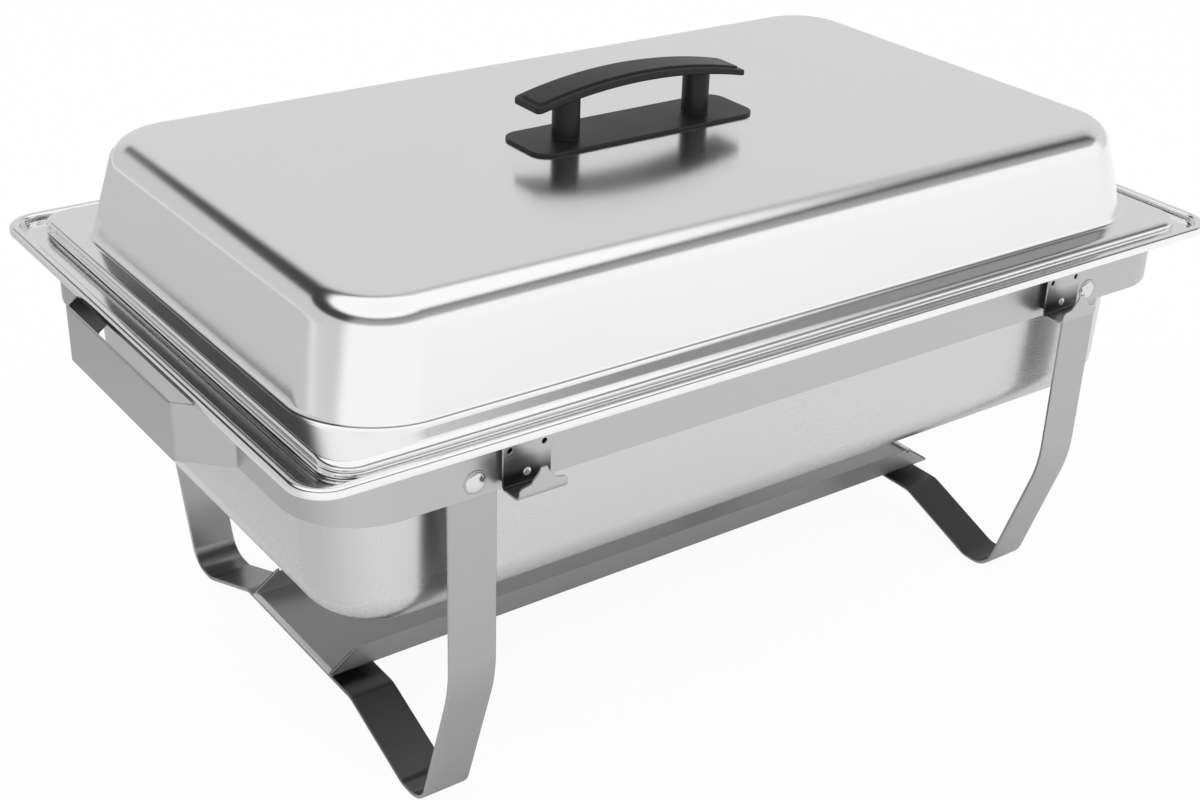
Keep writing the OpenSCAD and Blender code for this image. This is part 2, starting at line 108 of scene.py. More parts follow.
def ring(halfL, halfW, radius, z, steps=10, stations=()):
    # rounded rectangle: the front half from left to right, then its mirror
    front = [(radius * (1 + c) - halfL, radius * (1 + s) - halfW) for c, s in arc(180, 270, steps)]
    front += [(x, -halfW) for x in stations]
    front += [(halfL - radius * (1 - c), radius * (1 + s) - halfW) for c, s in arc(270, 360, steps)]
    return [Vector((x, y + middleY, z)) for x, y in front + [(x, -y) for x, y in reversed(front)]]


def mixed(a, b, t):
    return tuple(p + (q - p) * t for p, q in zip(a, b))


def grown(size, reach, z, smallest=0.3):
    # a (halfL, halfW, corner) outline moved outward, as a level
    halfL, halfW, corner = size
    return halfL + reach, halfW + reach, max(corner + reach, smallest), z


def loft(rings, ends=True):
    # skins a stack of equal rings and ladders its two ends across
    count = len(rings[0])
    points = [p for each in rings for p in each]
    faces = []
    for level in range(len(rings) - 1):
        low, high = level * count, (level + 1) * count
        for k in range(count):
            n = (k + 1) % count
            faces.append((low + k, low + n, high + n, high + k))
    if ends:
        for base in (0, (len(rings) - 1) * count):
            for k in range(count // 2 - 1):
                faces.append((base + k, base + k + 1, base + count - 2 - k, base + count - 1 - k))
    return points, faces


def shellInside(levels, thickness):
    # the inner skin of a pressed sheet whose outer levels are (halfL, halfW, radius, z)
    inside = []
    for k, (halfL, halfW, radius, z) in enumerate(levels):
        before, after = levels[max(k - 1, 0)], levels[min(k + 1, len(levels) - 1)]
        alongL = Vector((after[0] - before[0], after[3] - before[3])).normalized()
        alongW = Vector((after[1] - before[1], after[3] - before[3])).normalized()
        inside.append((halfL + thickness * alongL.y, halfW + thickness * alongW.y,
                       max(radius + thickness * alongW.y, 0.3), z - thickness * alongW.x))
    return inside


def wellLevels(pan, size, top, g, steps=8):
    # a drafted well from its rounded mouth down to its bottom, its skin g inside the outer face
    depth, draft, fillet = pan["depth"], pan["draft"], pan["fillet"]
    mouth = pan["mouth"] + g
    lean = math.atan2(draft, depth)
    skin = g * math.hypot(depth, draft) / depth
    levels = [(mouth * (1 - c) - skin, top - mouth * (1 - s)) for c, s in arc(90, 0, steps)]
    levels = [(reach, z) for reach, z in levels if z > top - depth + fillet]
    centre = -(fillet * math.cos(lean) + draft * (depth - fillet + fillet * math.sin(lean)) / depth)
    bend = fillet - g
    levels += [(centre + bend * c, top - depth + fillet - bend * s) for c, s in arc(math.degrees(lean), 90, steps)]
    return [grown(size, reach, z, 4) for reach, z in levels]


def rolledEdge(size, rollL, rollW, top, drop, steps):
    # a sheet's edge rolled over and down, its roll as wide as asked for along each side
    halfL, halfW, corner = size
    return [(halfL + rollL * (c - 1), halfW + rollW * (c - 1), corner + rollL * (c - 1), top - drop * (1 - s))
            for c, s in arc(90, 0, steps)]


def leftOf(v):
    return Vector((-v.y, v.x))


def foldedPath(corners, bends, thickness, steps=8):
    # outer face of a strip bent at each corner, as (point, outward normal); the inner bend radii are given
    corners = [Vector(c) for c in corners]
    path = []
    for k, corner in enumerate(corners):
        if k in (0, len(corners) - 1):
            go = (corners[1] - corners[0] if k == 0 else corner - corners[-2]).normalized()
            path.append((corner, -leftOf(go)))
            continue
        go, on = (corner - corners[k - 1]).normalized(), (corners[k + 1] - corner).normalized()
        turn = go.x * on.y - go.y * on.x
        hand = 1 if turn > 0 else -1
        swing = math.atan2(abs(turn), go.dot(on))
        faceRadius = bends[k - 1] + (thickness if hand > 0 else 0)
        middle = corner - go * faceRadius * math.tan(swing / 2) + leftOf(go) * hand * faceRadius
        spoke = -hand * leftOf(go)
        for step in range(steps + 1):
            a = hand * swing * step / steps
            c, s = math.cos(a), math.sin(a)
            turned = Vector((spoke.x * c - spoke.y * s, spoke.x * s + spoke.y * c))
            path.append((middle + turned * faceRadius, turned * hand))
    return path


def sheetAlong(rows, thickness, edge, lift):
    # a strip with eased edges; each row is (point, normal, near side, far side) in the strip's own plane
    points, faces = [], []
    for spot, normal, near, far in rows:
        e = min(edge, (far - near) / 4)
        for side, depth in ((near + e, 0), (far - e, 0), (far, e), (far, thickness - e), (far - e, thickness),
                            (near + e, thickness), (near, thickness - e), (near, e)):
            points.append(lift(spot - normal * depth, side))
    for r in range(len(rows) - 1):
        for k in range(8):
            n = (k + 1) % 8
            faces.append((8 * r + k, 8 * r + n, 8 * r + 8 + n, 8 * r + 8 + k))
    last = 8 * (len(rows) - 1)
    faces += [tuple(range(8)), tuple(range(last, last + 8))]
    return points, faces


def lathe(profile, centre, steps=48, closed=False):
    # turns (radius, z) points about an upright axis; an open profile's ends are capped
    points, faces = [], []
    for radius, z in profile:
        for k in range(steps):
            a = 2 * math.pi * k / steps
            points.append(Vector((centre[0] + radius * math.cos(a), centre[1] + radius * math.sin(a), z)))
    for r in range(len(profile) - (0 if closed else 1)):
        low, high = r * steps, (r + 1) % len(profile) * steps
        for k in range(steps):
            n = (k + 1) % steps
            faces.append((low + k, low + n, high + n, high + k))
    last = (len(profile) - 1) * steps
    if not closed:
        faces += [tuple(range(steps)), tuple(range(last, last + steps))]
    return points, faces


def addSocket(tree, name, kind, value=None, out=False):
    socket = tree.interface.new_socket(name, in_out="OUTPUT" if out else "INPUT", socket_type=kind)
    if value is not None:
        socket.default_value = value


def feed(node, inputs):
    # sets each input to a value, or links the socket that drives it
    for key, value in inputs.items():
        if isinstance(value, bpy.types.NodeSocket):
            node.id_data.links.new(value, node.inputs[key])
        else:
            node.inputs[key].default_value = value
    return node


def addNode(tree, kind, inputs=None, **settings):
    node = tree.nodes.new(kind)
    for key, value in settings.items():
        setattr(node, key, value)
    return feed(node, inputs or {})


def rescaled(tree, value, start, end, low=0.0, high=1.0, **settings):
    return addNode(tree, "ShaderNodeMapRange", {"Value": value, "From Min": start, "From Max": end,
                                                "To Min": low, "To Max": high}, **settings).outputs[0]


def colourMix(tree, share, first, second, **settings):
    return addNode(tree, "ShaderNodeMix", {0: share, 6: first, 7: second}, data_type="RGBA", **settings).outputs[2]


def dotOf(tree, first, second):
    return addNode(tree, "ShaderNodeVectorMath", {0: first, 1: second}, operation="DOT_PRODUCT").outputs["Value"]


def greyRamp(tree, stops, value):
    # a grey ramp through (position, level) stops
    node = addNode(tree, "ShaderNodeValToRGB", {0: value})
    elements = node.color_ramp.elements
    while len(elements) < len(stops):
        elements.new(0.5)
    for element, (where, level) in zip(elements, stops):
        element.position = where
        element.color = (level, level, level, 1)
    return node.outputs[0]


def newMaterial(name):
    material = bpy.data.materials.new(name)
    material.use_nodes = True
    return material, material.node_tree, material.node_tree.nodes["Principled BSDF"]


def buildGrain():
    # rolled and polished sheet: fine lines along X, cloudy wiping marks and a slow waviness
    tree = bpy.data.node_groups.new("rolledGrain", "ShaderNodeTree")
    addSocket(tree, "Vector", "NodeSocketVector")
    for name, value in (("Line Scale", 900.0), ("Cloud Scale", 9.0), ("Line Depth", 0.2),
                        ("Wave Depth", 0.3), ("Tone", 0.04)):
        addSocket(tree, name, "NodeSocketFloat", value)
    for name in ("Mask", "Height", "Shade"):
        addSocket(tree, name, "NodeSocketFloat", out=True)
    ends = tree.nodes.new("NodeGroupInput").outputs

    def noiseOf(vector, scale, **settings):
        return addNode(tree, "ShaderNodeTexNoise", {"Vector": vector, "Scale": scale, **settings}).outputs[0]

    def sumOf(operation, a, b):
        return addNode(tree, "ShaderNodeMath", {0: a, 1: b}, operation=operation).outputs[0]

    stretch = addNode(tree, "ShaderNodeMapping", {"Vector": ends["Vector"], "Scale": (0.03, 1, 1)})
    lines = noiseOf(stretch.outputs[0], ends["Line Scale"], Detail=3)
    clouds = noiseOf(ends["Vector"], ends["Cloud Scale"], Detail=4, Roughness=0.6)
    waves = noiseOf(ends["Vector"], 5, Detail=0)
    toned = sumOf("MULTIPLY", sumOf("SUBTRACT", clouds, 0.5), ends["Tone"])
    addNode(tree, "NodeGroupOutput", {
        "Mask": sumOf("ADD", sumOf("MULTIPLY", clouds, 0.7), sumOf("MULTIPLY", lines, 0.3)),
        "Height": sumOf("ADD", sumOf("MULTIPLY", lines, ends["Line Depth"]),
                        sumOf("MULTIPLY", waves, ends["Wave Depth"])),
        "Shade": sumOf("ADD", toned, 1.0)})
    return tree


grainGroup = buildGrain()


def steelFinish(name, spec):
    # stainless steel; "turn" aims its grain; the rim colour and the colours of upward and inward faces are for some
    # pieces only, and they paint light and shade into the steel
    material, tree, metal = newMaterial(name)
    spot = tree.nodes.new("ShaderNodeTexCoord").outputs
    turn = addNode(tree, "ShaderNodeMapping", {"Vector": spot["Object"], "Rotation": spec.get("turn", (0, 0, 0))})
    grain = addNode(tree, "ShaderNodeGroup", node_tree=grainGroup)
    feed(grain, {"Vector": turn.outputs[0], **{key: spec[key] for key in spec if key in grain.inputs}})
    gloss = rescaled(tree, grain.outputs["Mask"], 0.3, 0.7, *spec["roughness"])
    # pressed rims are buffed smoother than the wells below them; the rim's brighter colour is a painted highlight, and
    # the wells' darker colour is painted shade
    height = addNode(tree, "ShaderNodeSeparateXYZ", {0: spot["Object"]}).outputs["Z"]
    rim = rescaled(tree, height, *spec.get("rimHeight", (9.0, 9.1)))
    polish = addNode(tree, "ShaderNodeMix", {0: rim, 2: gloss, 3: spec.get("rimRoughness", 0.15)}).outputs[0]
    colour = colourMix(tree, rim, (*spec["colour"], 1), (*spec.get("rimColour", spec["colour"]), 1))
    # faces that look up, or in towards the pans, get a darker colour: painted shade
    upward = addNode(tree, "ShaderNodeSeparateXYZ", {0: spot["Normal"]}).outputs["Z"]
    inward = dotOf(tree, spot["Normal"], spot["Object"])
    for key, source, start, end in (("upColour", upward, 0.5, 0.8), ("innerColour", inward, -0.1, -0.18)):
        if key in spec:
            colour = colourMix(tree, rescaled(tree, source, start, end), colour, (*spec[key], 1))
    bump = addNode(tree, "ShaderNodeBump", {
        "Height": grain.outputs["Height"], "Strength": spec["bump"], "Distance": 0.0004})
    feed(metal, {"Metallic": 1, "Roughness": polish, "Normal": bump.outputs[0],
                 "Base Color": colourMix(tree, 1, colour, grain.outputs["Shade"], blend_type="MULTIPLY")})
    return material


def grey(level):
    return (level, level, level)


lidFinish = {"colour": grey(0.92), "roughness": (0.14, 0.19), "Line Scale": 1400.0, "Line Depth": 0.05,
             "Wave Depth": 0.25, "Tone": 0.03, "bump": 0.08}
# the pans' wells carry painted shade and their rims a painted highlight, through the colours below and above the rim
# line
panFinish = {"colour": (0.66, 0.66, 0.665), "roughness": (0.22, 0.3), "Line Scale": 1200.0, "Line Depth": 0.08,
             "Wave Depth": 0.5, "Tone": 0.04, "bump": 0.05,
             "rimHeight": (0.2119, 0.2127), "rimColour": grey(0.93), "rimRoughness": 0.14}
stripFinish = {"colour": grey(0.53), "roughness": (0.27, 0.36), "Line Scale": 900.0, "Line Depth": 0.25,
               "Wave Depth": 0.2, "Tone": 0.05, "bump": 0.15}
# the legs' upward faces are darkened: painted shade
legFinish = dict(stripFinish, turn=(0, math.pi / 2, 0), colour=grey(0.47), upColour=grey(0.21))
fastenerFinish = {"colour": grey(0.74), "roughness": (0.14, 0.22), "Line Scale": 600.0, "Line Depth": 0.05,
                  "Wave Depth": 0.1, "Tone": 0.03, "bump": 0.05}

lidSteel = steelFinish("lidSteel", lidFinish)
panSteel = steelFinish("panSteel", panFinish)
stripSteel = steelFinish("stripSteel", stripFinish)
# the end handles' faces that look in towards the pans are painted dark: painted shade
gripSteel = steelFinish("gripSteel", dict(stripFinish, innerColour=grey(0.1)))
# the hook's trough and lower plate, below the height line, are painted near-black as painted shade; above it the hook
# keeps the plain strip colour
shadedHookSteel = steelFinish("shadedHookSteel", dict(stripFinish, colour=grey(0.07), rimHeight=(0.191, 0.2), rimColour=grey(0.53),
                                          rimRoughness=0.3))
# the webs stand in the gap between hook plate and band and are near-black: painted shade
shadowWebSteel = steelFinish("shadowWebSteel", dict(stripFinish, colour=grey(0.03)))
# the hook rivets are painted near-white for their glint: a painted highlight
glintRivetSteel = steelFinish("glintRivetSteel", dict(stripFinish, colour=grey(0.95), roughness=(0.4, 0.5)))
legSteel = steelFinish("legSteel", legFinish)
# the far leg is a copy of the leg steel whose upward faces carry heavier painted shade
shadedFarLegSteel = steelFinish("shadedFarLegSteel", dict(legFinish, upColour=grey(0.07)))
# the shelf's upward faces are darkened: painted shade
shelfSteel = steelFinish("shelfSteel", dict(stripFinish, colour=grey(0.44), upColour=grey(0.36)))
fastenerSteel = steelFinish("fastenerSteel", fastenerFinish)


def plasticFinish(name, spec):
    # moulded black plastic with a fine spark-eroded texture
    material, tree, body = newMaterial(name)
    spot = tree.nodes.new("ShaderNodeTexCoord").outputs["Object"]
    fine = addNode(tree, "ShaderNodeTexNoise", {"Vector": spot, "Scale": spec["textureScale"], "Detail": 4}).outputs[0]
    soft = addNode(tree, "ShaderNodeTexNoise", {"Vector": spot, "Scale": spec["cloudScale"]}).outputs[0]
    shade = addNode(tree, "ShaderNodeValToRGB", {0: soft})
    for element, key in zip(shade.color_ramp.elements, ("dark", "light")):
        element.color = (*spec[key], 1)
    bump = addNode(tree, "ShaderNodeBump", {"Height": fine, "Strength": spec["bump"], "Distance": 0.0002})
    feed(body, {"IOR": 1.4, "Base Color": shade.outputs[0], "Roughness": rescaled(tree, soft, 0, 1, *spec["roughness"]),
                "Normal": bump.outputs[0]})
    return material


handlePlastic = plasticFinish("handlePlastic", {
    "dark": (0.010, 0.010, 0.011), "light": (0.014, 0.014, 0.015), "roughness": (0.34, 0.46),
    "textureScale": 1800, "cloudScale": 30, "bump": 0.25})
print("materials made")


def makeTree(name, inputs):
    # a geometry tree and its input sockets, which are the geometry, the named numbers and the material
    tree = bpy.data.node_groups.new(name, "GeometryNodeTree")
    addSocket(tree, "Geometry", "NodeSocketGeometry")
    for label, value in inputs:
        addSocket(tree, label, "NodeSocketInt" if isinstance(value, int) else "NodeSocketFloat", value)
    addSocket(tree, "Material", "NodeSocketMaterial")
    addSocket(tree, "Geometry", "NodeSocketGeometry", out=True)
    return tree, tree.nodes.new("NodeGroupInput").outputs


def finishTree(tree, ends, geometry):
    real = addNode(tree, "GeometryNodeRealizeInstances", {0: geometry})
    paint = addNode(tree, "GeometryNodeSetMaterial", {"Geometry": real.outputs[0], "Material": ends["Material"]})
    addNode(tree, "NodeGroupOutput", {0: paint.outputs[0]})
    return tree


def buildBentStrip():
    # sweeps a flat strip with eased edges along a line whose corners carry their bend radius
    tree, ends = makeTree("bentStrip", (
        ("Height", 0.0288), ("Thickness", 0.0015), ("Edge Radius", 0.0003), ("Bend Steps", 12)))
    line = addNode(tree, "GeometryNodeMeshToCurve", {0: ends["Geometry"]})
    upright = addNode(tree, "GeometryNodeSetCurveNormal", {0: line.outputs[0]}, mode="Z_UP")
    radius = addNode(tree, "GeometryNodeInputNamedAttribute", {"Name": "bend"}, data_type="FLOAT")
    bend = addNode(tree, "GeometryNodeFilletCurve", {
        "Curve": upright.outputs[0], "Count": ends["Bend Steps"], "Radius": radius.outputs["Attribute"]}, mode="POLY")
    section = addNode(tree, "GeometryNodeCurvePrimitiveQuadrilateral", {
        "Width": ends["Thickness"], "Height": ends["Height"]})
    eased = addNode(tree, "GeometryNodeFilletCurve", {
        "Curve": section.outputs[0], "Count": 2, "Radius": ends["Edge Radius"]}, mode="POLY")
    sweep = addNode(tree, "GeometryNodeCurveToMesh", {
        "Curve": bend.outputs[0], "Profile Curve": eased.outputs[0], "Fill Caps": True})
    return finishTree(tree, ends, sweep.outputs[0])


def buildFastener():
    # one domed, shanked and collared fastener on each point, its head along the point's aim
    tree, ends = makeTree("fastener", (
        ("Head Radius", 0.005), ("Head Height", 0.002), ("Shank Radius", 0.0025), ("Shank Length", 0.004),
        ("Collar Radius", 0.004), ("Collar Height", 0.001), ("Collar Depth", 0.004)))
    ball = addNode(tree, "GeometryNodeMeshUVSphere", {"Segments": 32, "Rings": 16, "Radius": 1})
    position = tree.nodes.new("GeometryNodeInputPosition").outputs[0]
    height = addNode(tree, "ShaderNodeSeparateXYZ", {0: position}).outputs["Z"]
    below = addNode(tree, "FunctionNodeCompare", {0: height, 1: -0.01}, operation="LESS_THAN")
    dome = addNode(tree, "GeometryNodeDeleteGeometry", {
        "Geometry": ball.outputs["Mesh"], "Selection": below.outputs[0]})
    size = addNode(tree, "ShaderNodeCombineXYZ", {
        "X": ends["Head Radius"], "Y": ends["Head Radius"], "Z": ends["Head Height"]})
    head = addNode(tree, "GeometryNodeTransform", {"Geometry": dome.outputs[0], "Scale": size.outputs[0]}).outputs[0]

    def drum(radius, length, drop):
        # an upright cylinder whose top lies drop below the head's foot
        solid = addNode(tree, "GeometryNodeMeshCylinder", {
            "Vertices": 32, "Radius": ends[radius], "Depth": ends[length]})
        top = addNode(tree, "ShaderNodeMath", {0: ends[drop], 1: -1}, operation="MULTIPLY").outputs[0] if drop else 0
        middle = addNode(tree, "ShaderNodeMath", {0: ends[length], 1: -0.5, 2: top}, operation="MULTIPLY_ADD")
        lower = addNode(tree, "ShaderNodeCombineXYZ", {"Z": middle.outputs[0]})
        return addNode(tree, "GeometryNodeTransform", {
            "Geometry": solid.outputs["Mesh"], "Translation": lower.outputs[0]}).outputs[0]

    gather = tree.nodes.new("GeometryNodeJoinGeometry")
    for part in (head, drum("Shank Radius", "Shank Length", None),
                 drum("Collar Radius", "Collar Height", "Collar Depth")):
        feed(gather, {0: part})
    aim = addNode(tree, "GeometryNodeInputNamedAttribute", {"Name": "aim"}, data_type="FLOAT_VECTOR")
    point = addNode(tree, "FunctionNodeAlignRotationToVector", {"Vector": aim.outputs["Attribute"]}, axis="Z")
    spread = addNode(tree, "GeometryNodeInstanceOnPoints", {
        "Points": ends["Geometry"], "Instance": gather.outputs[0], "Rotation": point.outputs[0]})
    return finishTree(tree, ends, spread.outputs[0])


bentStrip = buildBentStrip()
fastener = buildFastener()


def grow(name, seed, tree, values, smoothAngle=32):
    # runs a node tree on a seed mesh and keeps the result as a plain mesh
    holder = bpy.data.objects.new(name + "Seed", seed)
    bpy.context.scene.collection.objects.link(holder)
    modifier = holder.modifiers.new("grow", "NODES")
    modifier.node_group = tree
    for item in tree.interface.items_tree:
        if item.in_out == "INPUT" and item.name in values:
            modifier[item.identifier] = values[item.name]
    bpy.context.view_layer.update()
    graph = bpy.context.evaluated_depsgraph_get()
    mesh = bpy.data.meshes.new_from_object(holder.evaluated_get(graph))
    holder.modifiers.remove(modifier)
    bpy.data.objects.remove(holder)
    mesh.name = name
    work = bmesh.new()
    work.from_mesh(mesh)
    bmesh.ops.remove_doubles(work, verts=work.verts, dist=1e-7)
    bmesh.ops.recalc_face_normals(work, faces=work.faces)
    work.to_mesh(mesh)
    work.free()
    return addMesh(name, mesh, values["Material"], smoothAngle)


def stripAlong(name, line, bends, spec, height, z, material):
    # a flat strip standing upright along a line in plan
    seed = bpy.data.meshes.new(name + "Line")
    links = [(k, k + 1) for k in range(len(line) - 1)]
    seed.from_pydata([(x * 0.001, y * 0.001, z * 0.001) for x, y in line], links, [])
    bend = seed.attributes.new("bend", "FLOAT", "POINT")
    for k, radius in enumerate(bends):
        bend.data[k].value = radius * 0.001
    return grow(name, seed, bentStrip, {
        "Height": height * 0.001, "Thickness": spec["thickness"] * 0.001, "Edge Radius": spec["edge"] * 0.001,
        "Bend Steps": spec["bendSteps"], "Material": material})


def fastenersAt(name, spots, spec, material):
    # spots are (point, direction the head looks)
    seed = bpy.data.meshes.new(name + "Spots")
    seed.from_pydata([Vector(p) * 0.001 for p, _ in spots], [], [])
    aim = seed.attributes.new("aim", "FLOAT_VECTOR", "POINT")
    for k, (_, look) in enumerate(spots):
        aim.data[k].vector = look
    values = {label: spec[key] * 0.001 for label, key in (
        ("Head Radius", "headRadius"), ("Head Height", "headHeight"), ("Shank Radius", "shankRadius"),
        ("Shank Length", "shankLength"), ("Collar Radius", "collarRadius"), ("Collar Height", "collarHeight"),
        ("Collar Depth", "collarDepth"))}
    values["Material"] = material
    return grow(name, seed, fastener, values, 40)


print("node trees built")

tuck = 0.25   # how far a rolled edge turns in at its foot
crease = 0.3  # flat step beside a bend, which keeps its shading crisp
lid = {"sheet": 0.8, "hem": 1.0, "hemHeight": 3.3, "flangeCorner": 16, "flangeInL": 10.6, "flangeInW": 15.5,
       "footCorner": 42, "leanInL": 24.3, "leanInW": 23.6, "topCorner": 23.5, "topIn": 3, "edge": 14.7, "lean": 12,
       "foot": 2.4, "rollL": 1.8, "rollW": 4.5, "cornerSteps": 16}


def halfSizes(node):
    low, high = boxOf(node)
    return (high.x - low.x) / 2, (high.y - low.y) / 2, low.z, high.z


def buildLid():
    halfL, halfW, base, top = halfSizes("lid_shell")
    flange, edge, fillet = base + lid["hemHeight"], lid["edge"], lid["foot"]
    footSize = (halfL - lid["flangeInL"], halfW - lid["flangeInW"], lid["footCorner"])
    topSize = (footSize[0] - lid["leanInL"], footSize[1] - lid["leanInW"], lid["topCorner"])
    rimSize = (halfL, halfW, lid["flangeCorner"])
    levels = [grown(topSize, -lid["topIn"], top)]
    levels += [grown(topSize, edge * c, top - edge * (1 - s)) for c, s in arc(90, lid["lean"], 12)]
    # the wall runs straight down to a small fillet that turns it out into the flange
    shoulder, corner = levels[-1], (*footSize, flange)
    start = mixed(corner, shoulder, fillet / (shoulder[3] - flange))
    foot = grown(footSize, fillet, flange)
    for t in [k / 8 for k in range(9)]:
        levels.append(mixed(mixed(start, corner, t), mixed(corner, foot, t), t))
    levels.append(grown(footSize, fillet + crease, flange))
    # the rolled edge is narrow at the ends and wide along the front and back
    rollL, rollW = lid["rollL"], lid["rollW"]
    levels.append((halfL - rollL - crease, halfW - rollW - crease, lid["flangeCorner"] - rollL - crease, flange))
    levels += rolledEdge(rimSize, rollL, rollW, flange, flange - base - tuck, 8)
    levels.append(grown(rimSize, -tuck, base))
    inside = shellInside(levels[:-3], lid["sheet"])
    levels.append(grown(rimSize, 0.2 - lid["hem"], base))
    return loft([ring(*level, lid["cornerSteps"]) for level in levels + inside[::-1]])


place(addPiece("coverShell", *buildLid(), lidSteel), "cover", "stainless_sheet", "lid_shell")
print("cover made")

foodPan = {"sheet": 0.8, "hem": 1.0, "hemHeight": 3.3, "flangeCorner": 16,
           "wellInL": 24, "wellInW": 24.5, "wellCorner": 36, "depth": 65, "draft": 8, "fillet": 15,
           "mouth": 3, "roll": 2.2, "cornerSteps": 12}


def wellSkins(pan, halfL, halfW, top):
    # the well's inner face from the bottom up, and its outer face from the top down
    size = (halfL - pan["wellInL"], halfW - pan["wellInW"], pan["wellCorner"])
    return wellLevels(pan, size, top, pan["sheet"])[::-1], wellLevels(pan, size, top, 0)


def buildFoodPan():
    halfL, halfW, _, top = halfSizes("food_pan")
    hem, roll, base, underside = foodPan["hem"], foodPan["roll"], top - foodPan["hemHeight"], top - foodPan["sheet"]
    size = (halfL, halfW, foodPan["flangeCorner"])
    inner, outer = wellSkins(foodPan, halfL, halfW, underside)
    rim = rolledEdge(size, roll, roll, top, top - base - tuck, 6)
    rim += [grown(size, reach, z) for reach, z in (
        (-tuck, base), (0.2 - hem, base), (-hem, base + 0.2), (-hem, underside))]
    return loft([ring(*level, foodPan["cornerSteps"]) for level in inner + rim + outer])


waterPan = {"sheet": 0.8, "bead": 5.4, "beadHeight": 4.7, "beadRound": 1.9, "rimCorner": 18,
            "wellInL": 27, "wellInW": 27.8, "wellCorner": 40, "depth": 98, "draft": 2, "fillet": 20,
            "mouth": 4, "rimRound": 0.9, "cornerSteps": 12}


def buildWaterPan():
    halfL, halfW, low, _ = halfSizes("water_pan")
    base, sheet, bead = low + waterPan["depth"], waterPan["sheet"], waterPan["bead"]
    inner, outer = wellSkins(waterPan, halfL, halfW, base)
    bend, rise, eased = waterPan["beadRound"], waterPan["beadHeight"] - waterPan["beadRound"], waterPan["rimRound"]
    # the raised bead's section from its inner foot over its top to the rim's rounded underside
    section = [(-bead - 1, sheet), (-bead - crease, sheet + 0.1), (-bead, sheet + 0.6)]
    section += [(-bead + bend * (1 + c), rise + bend * s) for c, s in arc(180, 90, 5)]
    section += [(-bend * (1 - c), rise + bend * s) for c, s in arc(90, 0, 5)]
    section += [(0, eased), (-0.26, 0.26), (-eased, 0), (-bead, 0)]
    rim = [grown((halfL, halfW, waterPan["rimCorner"]), reach, base + z, 2) for reach, z in section]
    return loft([ring(*level, waterPan["cornerSteps"]) for level in inner + rim + outer])


place(addPiece("foodPan", *buildFoodPan(), panSteel), "food_pan", "stainless_sheet", "food_pan")
place(addPiece("waterPan", *buildWaterPan(), panSteel), "water_pan", "stainless_sheet", "water_pan")
print("pans made")

handle = {"plateCorner": 10, "plateEdge": 0.6, "plateUnder": 0.3, "postRadius": 7.3, "postFoot": 0.4,
          "gripCorner": 3.5, "gripEdge": 0.7, "gripUnder": 0.8, "archTop": 275, "archUnder": 295, "gripThick": 4.8,
          "padInL": 3, "padInW": 3.5, "padHeight": 1.1, "padCorner": 2, "padEdge": 0.5, "inset": 0.8}


def easedSides(lowEdge, highEdge):
    # (reach, rise) up the rounded lower edge and over the rounded upper edge, each rise from its own face
    lower = [(-lowEdge * (1 - c), lowEdge * (1 - s)) for c, s in arc(90, 0, 3)]
    return lower, [(-highEdge * (1 - c), -highEdge * (1 - s)) for c, s in arc(0, 90, 5)]


def buildPlate():
    # a flat plate with rounded rims, as rings from its underside up
    halfL, halfW, low, high = halfSizes("handle_base_plate")
    size, inset = (halfL, halfW, handle["plateCorner"]), handle["inset"]
    lower, upper = easedSides(handle["plateUnder"], handle["plateEdge"])
    levels = [(-handle["plateUnder"] - inset, low)] + [(reach, low + rise) for reach, rise in lower]
    levels += [(reach, high + rise) for reach, rise in upper] + [(-handle["plateEdge"] - inset, high)]
    return loft([ring(*grown(size, reach, z, 0.6), 12) for reach, z in levels])


place(addPiece("handlePlate", *buildPlate(), handlePlastic), "cover", "black_plastic", "handle_base_plate")


def archedDown(radius, x):
    return radius - math.sqrt(radius * radius - x * x)


def buildGrip():
    # the body and its raised pad are flat rings whose points drop onto two arches
    halfL, halfW, _, top = halfSizes("handle_grip")
    pad, padEdge = handle["padHeight"], handle["padEdge"]
    body = (halfL, halfW, handle["gripCorner"])
    raised = (halfL - handle["padInL"], halfW - handle["padInW"], handle["padCorner"])
    lower, upper = easedSides(handle["gripUnder"], handle["gripEdge"])
    padLevels = [(0.25, 0), (0.0, 0.25), (0.0, pad - padEdge)]
    padLevels += [(-padEdge * (1 - c), pad - padEdge * (1 - s)) for c, s in arc(0, 90, 3, 1)] + [(-padEdge - 1, pad)]

    def under(x):
        return top - handle["gripThick"] - archedDown(handle["archUnder"], x)

    def over(x):
        return top - pad - archedDown(handle["archTop"] - pad, x)

    rings = []
    for size, levels, arch, fromEnd in ((body, [(-2 * handle["gripUnder"], 0)] + lower, under, 10),
                                        (body, upper, over, 10), (raised, padLevels, over, 8)):
        stations = [x * (size[0] - fromEnd) / 12 for x in range(-12, 13)]
        for reach, rise in levels:
            flat = ring(*grown(size, reach, rise, 0.5), 6, stations)
            rings.append([Vector((p.x, p.y, p.z + arch(p.x))) for p in flat])
    return loft(rings)


def buildPost(low, high):
    radius, foot = handle["postRadius"], handle["postFoot"]
    x, gripTop = (low.x + high.x) / 2, boxOf("handle_grip")[1].z
    profile = [(2, low.z + 0.2), (radius + foot, low.z + 0.01)]
    profile += [(radius + foot * (1 - s), low.z + foot * (1 - c)) for c, s in arc(0, 90, 4, 1)]
    roof = gripTop - handle["gripThick"] + 0.4 - archedDown(handle["archUnder"], abs(x) + radius)
    return lathe(profile + [(radius, roof), (radius - 1, roof + 0.6)], (x, (low.y + high.y) / 2))


place(addPiece("handleGrip", *buildGrip(), handlePlastic, 40), "cover", "black_plastic", "handle_grip")
for side in ("left", "right"):
    post = buildPost(*boxOf("handle_post_" + side))
    place(addPiece("handlePost" + side.title(), *post, handlePlastic), "cover", "black_plastic", "handle_post_" + side)
print("handle made")

